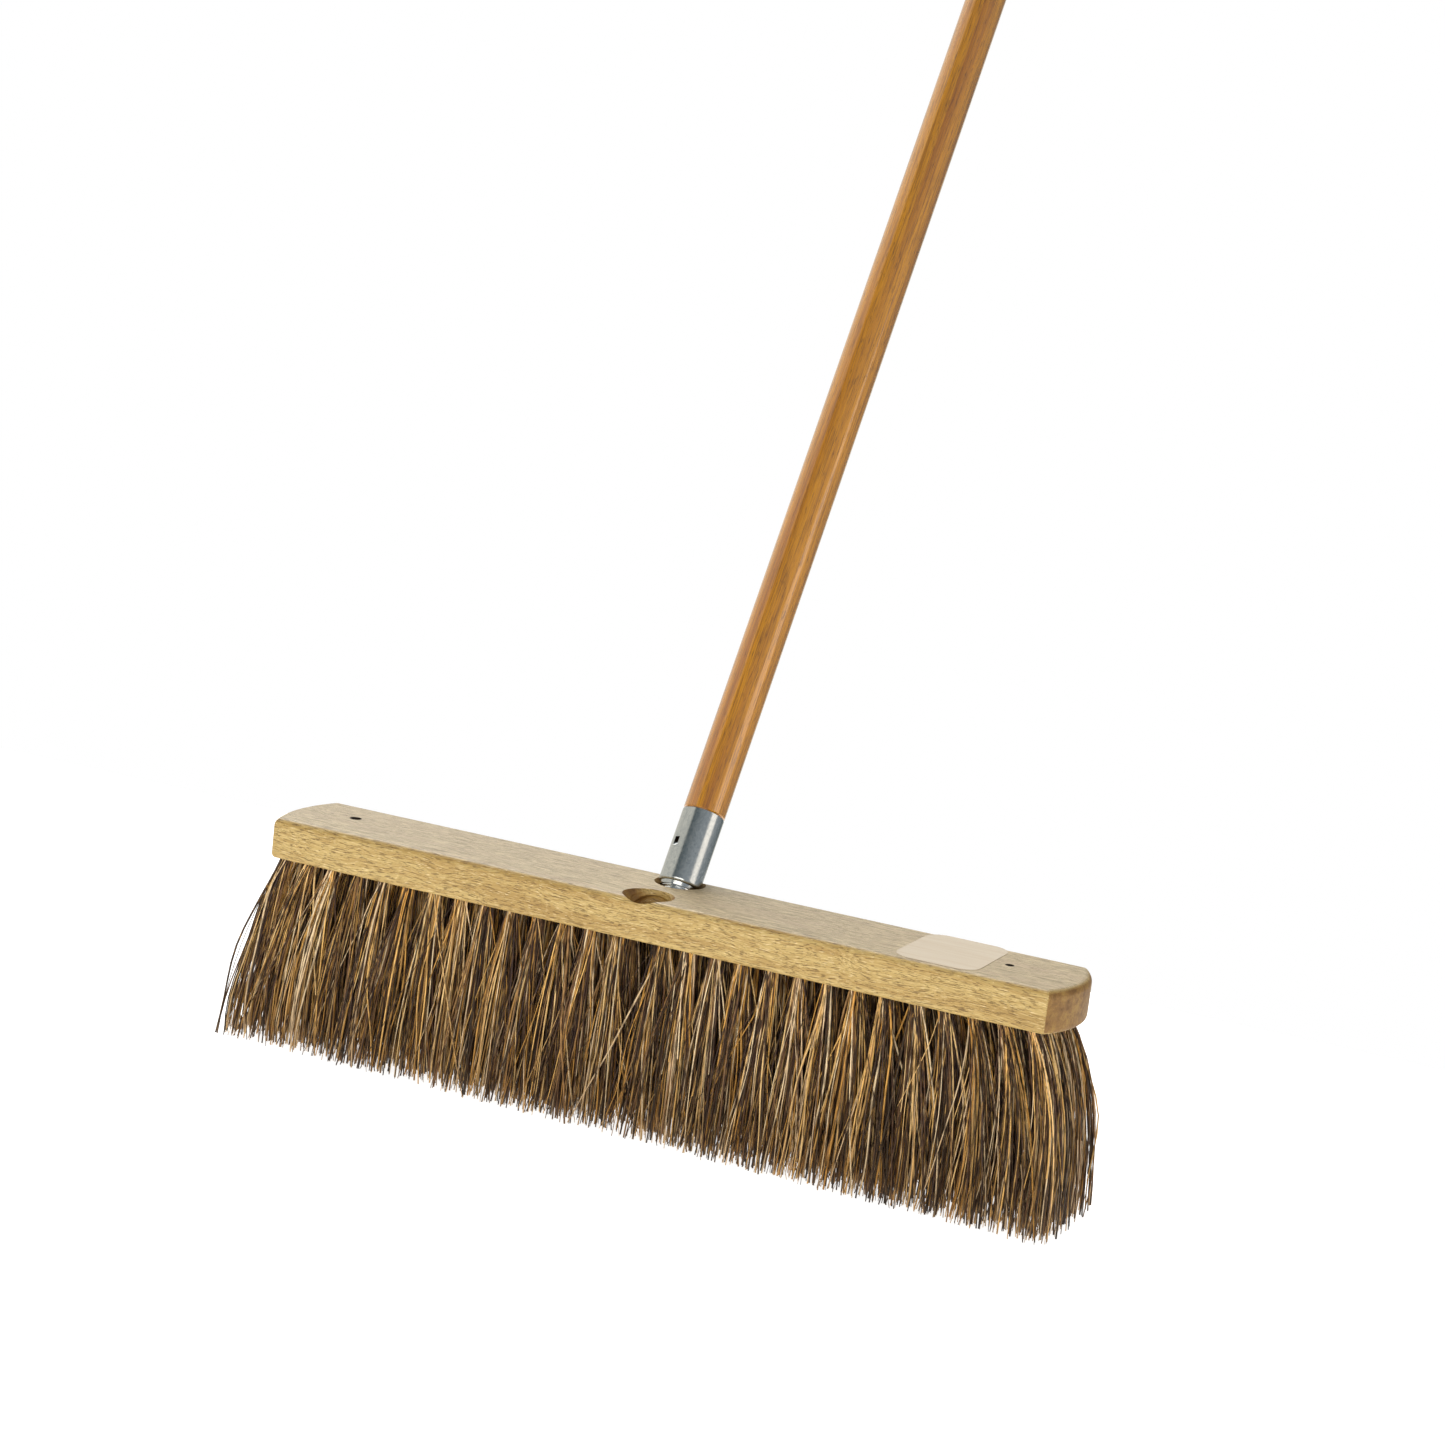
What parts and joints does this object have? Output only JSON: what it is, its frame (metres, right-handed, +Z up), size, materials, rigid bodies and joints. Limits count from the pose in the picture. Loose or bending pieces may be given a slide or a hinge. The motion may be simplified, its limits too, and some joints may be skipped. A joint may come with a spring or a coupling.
{
  "type": "push broom",
  "caption": "Push broom with a hardwood block, stiff brown fibre bristles, a spare threaded handle hole, and a round wooden handle that screws into the block at an angle.",
  "frame": {"origin": "middle of the flat plane that the bristle tips sweep", "axes": "+X along the block, +Y towards the side that the handle leans to, +Z up from the floor"},
  "size_m": [0.4868, 0.8368, 1.4201],
  "materials": {
    "block_wood": "satin",
    "handle_wood": "gloss",
    "galvanised_steel": "satin",
    "bright_zinc": "polished",
    "bristle_fibre": "matte"
  },
  "bodies": {
    "head": {"block": "block_wood", "tufts_left_02": "bristle_fibre", "tufts_left_03": "bristle_fibre", "tufts_left_04": "bristle_fibre", "tufts_left_05": "bristle_fibre", "tufts_left_06": "bristle_fibre", "tufts_left_07": "bristle_fibre", "tufts_left_08": "bristle_fibre", "tufts_left_09": "bristle_fibre", "tufts_left_10": "bristle_fibre", "tufts_left_11": "bristle_fibre", "tufts_left_12": "bristle_fibre", "tufts_left_13": "bristle_fibre", "tufts_left_14": "bristle_fibre", "tufts_middle": "bristle_fibre", "tufts_right_02": "bristle_fibre", "tufts_right_03": "bristle_fibre", "tufts_right_04": "bristle_fibre", "tufts_right_05": "bristle_fibre", "tufts_right_06": "bristle_fibre", "tufts_right_07": "bristle_fibre", "tufts_right_08": "bristle_fibre", "tufts_right_09": "bristle_fibre", "tufts_right_10": "bristle_fibre", "tufts_right_11": "bristle_fibre", "tufts_right_12": "bristle_fibre", "tufts_right_13": "bristle_fibre", "tufts_right_14": "bristle_fibre"},
    "tip": {"threaded_tip": "bright_zinc"},
    "handle": {"ferrule_sleeve": "galvanised_steel", "handle_dowel": "handle_wood"}
  },
  "joints": [
    {"name": "tip_advance", "type": "slide", "parent": "head", "child": "tip", "axis": [0, 0.515, 0.8572], "range_m": [0, 0.01524]},
    {"name": "handle_turn", "type": "hinge", "parent": "tip", "child": "handle", "pos_m": [-0.002, 0.019, 0.1238], "axis": [0, 0.515, 0.8572], "range_deg": [0, 1080]}
  ],
  "couplings": [
    {"joint": "tip_advance", "follows": "handle_turn", "m_per_rad": 0.00080851}
  ]
}
